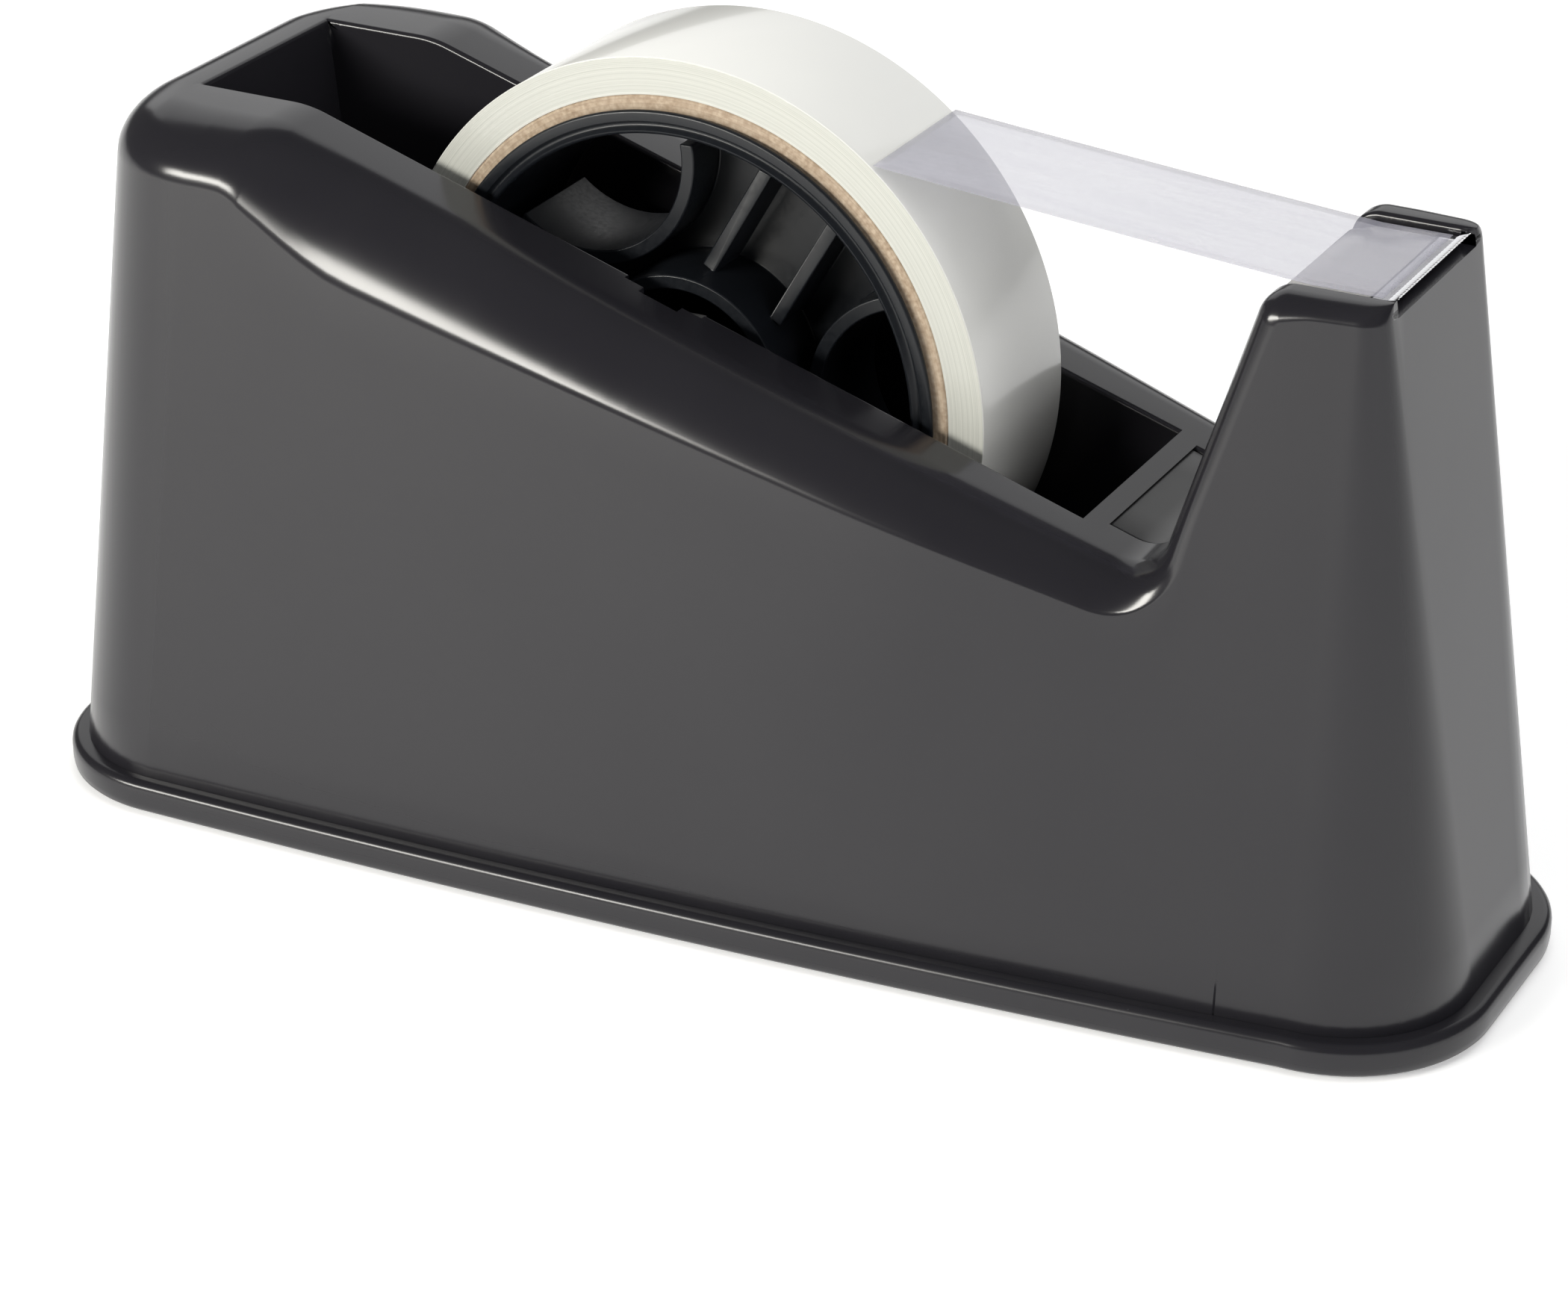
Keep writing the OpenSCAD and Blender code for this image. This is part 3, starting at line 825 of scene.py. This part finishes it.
def bent_sheet(centre, thick, half, round_off):
    """A sheet of even thickness below an XZ line, its two long upper edges rounded.

    Its section is (y, depth): up one flank, a quarter round of radius round_off, across the top,
    and the same mirrored. Each section point is moved by its depth against the line's normal.
    """
    run = np.gradient(centre, axis=0)
    run /= np.linalg.norm(run, axis=1)[:, None]
    normal = np.stack([-run[:, 1], run[:, 0]], -1)
    flank = np.array([[-half, thick]])
    turn = arc((round_off - half, round_off), -round_off, 0, 90, 5)
    left = np.concatenate([flank, turn, [[-half / 2, 0]]])
    y, depth = np.concatenate([left, [[0, 0]], left[::-1] * [-1, 1]]).T
    points = lifted(centre[:, :1] - normal[:, :1] * depth, y, centre[:, 1:] - normal[:, 1:] * depth)
    return points.reshape(-1, 3), capped_faces(len(centre), len(y))


def make_panel():
    """The snap-in panel: a sheet just under the rim, down the tower and along the valley."""
    path, normal = rim_path()
    tower_reach, top, thick = 6, PLATE_TOP - 1.3, 1.8
    line = path - PANEL_GAP * normal
    line = line[(path[:, 0] > SEAM_X) & (path[:, 0] < TOWER_X + tower_reach)]
    kept = line[:, 1] < top
    kept[:np.argmin(line[:, 1])] = True
    points, faces = bent_sheet(line[kept], thick, PANEL_HALF, round_off=0.35)
    panel = piece("back_panel", points, faces, "housing", PANEL_FINISH, sharp=40)
    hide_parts("tower_back_panel")


def make_plate():
    """The landing plate: one outline with a cut corner, stacked and drawn in at its top edge."""
    rear, front, half = plate_low[0], plate_high[0], plate_high[1]
    cut = 4.0
    outline = np.array([[rear, -half], [front, -half], [front, half], [rear + cut, half],
                        [rear, half - cut]])
    inset = np.array([0, 0, 0.1, 0.35])[:, None]
    z = np.array([[plate_low[2]], [PLATE_TOP - 0.35], [PLATE_TOP - 0.1], [PLATE_TOP]])
    inwards = np.sign(outline.mean(0) - outline)
    points = lifted(outline[:, 0] + inwards[:, 0] * inset, outline[:, 1] + inwards[:, 1] * inset, z)
    plate = piece("landing_sheet", points.reshape(-1, 3), capped_faces(*points.shape[:2]),
                  "housing", PLATE_FINISH)
    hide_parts("landing_plate")


def make_blade():
    """The cutter: a folded strip whose front edge is a triangle wave of fine, set teeth.

    Its XZ section is the same all along Y, but the tip goes from the valley of a tooth, which is
    TOOTH behind the point, to the point, which is also set upwards.
    """
    low, high = blade_low, blade_high
    teeth = 28
    wall, thick, hem = 0.8, 0.5, 0.1
    bend, root_set, tip_set = 1.9, 0.3, 0.95
    tip_t, tip_slant = 0.12, 0.02
    y = np.linspace(-high[1], high[1], 2 * teeth + 1)
    wave = np.arange(len(y)) % 2
    tip_x = high[0] - TOOTH * (1 - wave)
    tip_z = PLATE_TOP + tip_set * wave
    section = [(low[0], low[2]),
               (low[0], PLATE_TOP),
               (high[0] - bend, PLATE_TOP),
               (high[0] - TOOTH, PLATE_TOP + root_set * wave),
               (tip_x, tip_z),
               (tip_x - tip_slant, tip_z - tip_t),
               (high[0] - TOOTH - hem, PLATE_TOP - thick),
               (low[0] + wall, PLATE_TOP - wall),
               (low[0] + wall, low[2])]
    points = np.stack([lifted(x, y, z) for x, z in section], 1)
    blade = piece("toothed_blade", points.reshape(-1, 3), capped_faces(*points.shape[:2]),
                  "housing", BLADE_FINISH, sharp=25)
    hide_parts("cutter_blade")


# ------------------------------------------------------------------ tape


def make_winding():
    """The wound tape: a ring whose sides carry faint steps, a cosine, between its windings."""
    inner, outer = CARD_R + 0.02, ROLL_R
    steps, edge_r, bevel = 14, 0.22, (0.1, 0.15)
    wave, wave_turn, sunk = 0.035, 2.4, 0.04
    radii = np.linspace(inner + bevel[0], outer - 0.25, steps)
    ripple = wave * np.cos(np.arange(steps) * wave_turn) - sunk
    side = np.stack([radii, TAPE_HALF + ripple], -1)
    edge = arc((outer - edge_r, TAPE_HALF - edge_r), edge_r, 78, 0, 5)
    half = np.concatenate([[[inner, 0], [inner, TAPE_HALF - bevel[1]]], side, edge])
    profile = np.concatenate([half, (half * [1, -1])[::-1]])
    points, faces = revolve(profile, steps=256)
    tape = piece("wound_tape", points, faces, "roll", WOUND_FINISH, sharp=50)
    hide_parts("tape_winding")


def make_hub_rim():
    """The hub's rim: a barrel inside the core, its near face between a lip and an inner bead.

    The near face is hollowed by a half sine, and the lip goes over the core's edge.
    """
    outer = CARD_R - CARD_T - 0.1
    inner = outer - RIM_T
    near, far = rim_low[1], rim_high[1]
    dish, edge_r, bead_r, lip_r = 0.7, 0.5, 0.55, 0.45
    lip_out, lip_in, bead_edge = 0.9, 0.5, 0.6
    lip = arc((outer + lip_out, near + lip_in), lip_r, -90, 90, 8)
    bead = arc((inner + bead_r, near + bead_r), bead_r, -180, -90, 6)
    t = np.linspace(0.88, 0.12, 7)
    hollow_r = outer + (inner + bead_edge - outer) * t
    hollow = np.stack([hollow_r, near + dish * np.sin(math.pi * t)], -1)
    back = arc((inner + edge_r, far - edge_r), edge_r, 90, 180, 4)
    edge = arc((outer - edge_r, far - edge_r), edge_r, 0, 90, 4)
    profile = np.concatenate([edge, back, bead, hollow, lip, [[outer, lip[-1, 1]]]])
    points, faces = revolve(profile, steps=192)
    rim = piece("dished_rim", points, faces, "roll", HUB_FINISH, sharp=40)
    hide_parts("hub_rim")


def make_film():
    """The free film: straight from where it peels off, then flat over the plate to the teeth.

    Across its width it droops by 0.12 (2y / width)^2, times a half sine along its free length.
    """
    low, high = film_low, film_high
    rest_x, rest_z = TOWER_X + 4, PLATE_TOP + FILM_LIFT
    cut_x = blade_high[0] - 1.5 * TOOTH
    x = np.concatenate([np.linspace(low[0], rest_x, 41), np.linspace(rest_x, cut_x, 10)[1:]])
    free = np.clip((x - low[0]) / (rest_x - low[0]), 0, 1)
    z = high[2] + (rest_z - high[2]) * free
    y = np.linspace(-high[1], high[1], 13)
    droop = 0.12 * np.sin(math.pi * free)[:, None] * (y / high[1]) ** 2
    points = lifted(x[:, None], y, z[:, None] - droop)
    film = piece("free_film", points.reshape(-1, 3), grid_faces(*points.shape[:2]).tolist(),
                 "axle", FILM_FINISH, sharp=60)
    add_modifier(film, "SOLIDIFY", thickness=0.08 * MM, offset=1)
    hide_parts("tape_strip")


def softened(node, body, material, width):
    """A copy of a frame node whose doubles are merged and whose edges are broken by a bevel."""
    mesh = bpy.data.objects[node].data.copy()
    work = bmesh.new()
    work.from_mesh(mesh)
    bmesh.ops.remove_doubles(work, verts=work.verts, dist=MERGE)
    bmesh.ops.dissolve_limit(work, angle_limit=math.radians(0.5), verts=work.verts,
                             edges=work.edges)
    work.to_mesh(mesh)
    work.free()
    made = finish_piece(node + "_detail", mesh, body, material, sharp=30)
    add_modifier(made, "BEVEL", width=width * MM, segments=2, limit_method="ANGLE",
                 angle_limit=math.radians(40), use_clamp_overlap=True, harden_normals=False)
    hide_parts(node)


def finish_nodes(**materials):
    """Gives frame nodes that stay as they are a material each."""
    for node, material in materials.items():
        for slot in bpy.data.objects[node].material_slots:
            slot.material = material


make_shell()
make_tray()
make_panel()
make_plate()
make_blade()
make_winding()
make_film()
make_hub_rim()
softened("hub_spider", "roll", HUB_FINISH, width=0.3)
softened("tape_core", "roll", CARD_FINISH, width=0.3)
finish_nodes(axle_pin=STEEL_FINISH, base_screws=STEEL_FINISH, ballast_plate=cast_iron(),
             non_slip_pad=foam_rubber())


# ------------------------------------------------------------------ studio

CAMERA_AT = (270.3, -516.3, 317.7)
CAMERA_BACK = (0.4194, -0.7915, 0.4446)
LENS = 103.5
FLOOR_HALF = 4000


def make_floor():
    """A pale floor, flat and 8 metres a side, that glows a little so that it looks white."""
    f = Finish("studio_white", Roughness=0.6, Emission_Color=rgb(1, 1, 1), Emission_Strength=0.35)
    grain = f.noise(scale=3.0, detail=2.0)
    f.set("Base Color", f.blend(grain, rgb(0.90, 0.90, 0.90), rgb(0.93, 0.93, 0.93)))
    side = np.linspace(-FLOOR_HALF, FLOOR_HALF, 9)
    points = lifted(side[:, None], side, 0).reshape(-1, 3)
    mesh = bpy.data.meshes.new("studio_floor")
    mesh.from_pydata((points * MM).tolist(), [], grid_faces(len(side), len(side)).tolist())
    mesh.shade_smooth()
    mesh.materials.append(f.material)
    floor = bpy.data.objects.new("studio_floor", mesh)
    bpy.context.scene.collection.objects.link(floor)


def stand(name, data, place, back):
    """Puts a light or camera at a place in millimetres, facing away from the direction back."""
    made = bpy.data.objects.new(name, data)
    bpy.context.scene.collection.objects.link(made)
    turn = Vector(back).normalized().to_track_quat("Z", "Y").to_matrix().to_4x4()
    made.matrix_world = Matrix.Translation(Vector(place) * MM) @ turn
    return made


def softbox(name, place, aim_z, size, power, tone=(1, 1, 1)):
    """A rectangular light of a power in watts that faces a point above the origin."""
    data = bpy.data.lights.new(name, "AREA")
    data.shape = "RECTANGLE"
    data.size, data.size_y = (s * MM for s in size)
    data.energy = power
    data.color = tone
    return stand(name, data, place, Vector(place) - Vector((0, 0, aim_z)))


def set_world(strength):
    """An even white surround."""
    world = bpy.data.worlds.new("studio_world")
    world.use_nodes = True
    background = world.node_tree.nodes["Background"]
    background.inputs["Color"].default_value = rgb(1, 1, 1)
    background.inputs["Strength"].default_value = strength
    bpy.context.scene.world = world


def set_camera():
    """A long lens in front of the object, to its right and a little above it."""
    data = bpy.data.cameras.new("studio_camera")
    data.sensor_width = 36
    data.lens = LENS
    data.clip_start, data.clip_end = 0.01, 50
    bpy.context.scene.camera = stand("studio_camera", data, CAMERA_AT, CAMERA_BACK)


make_floor()
set_world(0.07)
set_camera()
softbox("front_strip", (-560, -930, 440), 60, (760, 220), 15, tone=(1, 0.98, 0.92))
softbox("back_wall", (-900, 2200, 1400), 60, (3600, 1800), 19)
softbox("top_fill", (300, 100, 1400), 50, (1400, 1200), 11).visible_glossy = False
softbox("right_fill", (1300, -500, 600), 60, (900, 900), 8).visible_glossy = False
bpy.context.scene.view_settings.view_transform = "Standard"
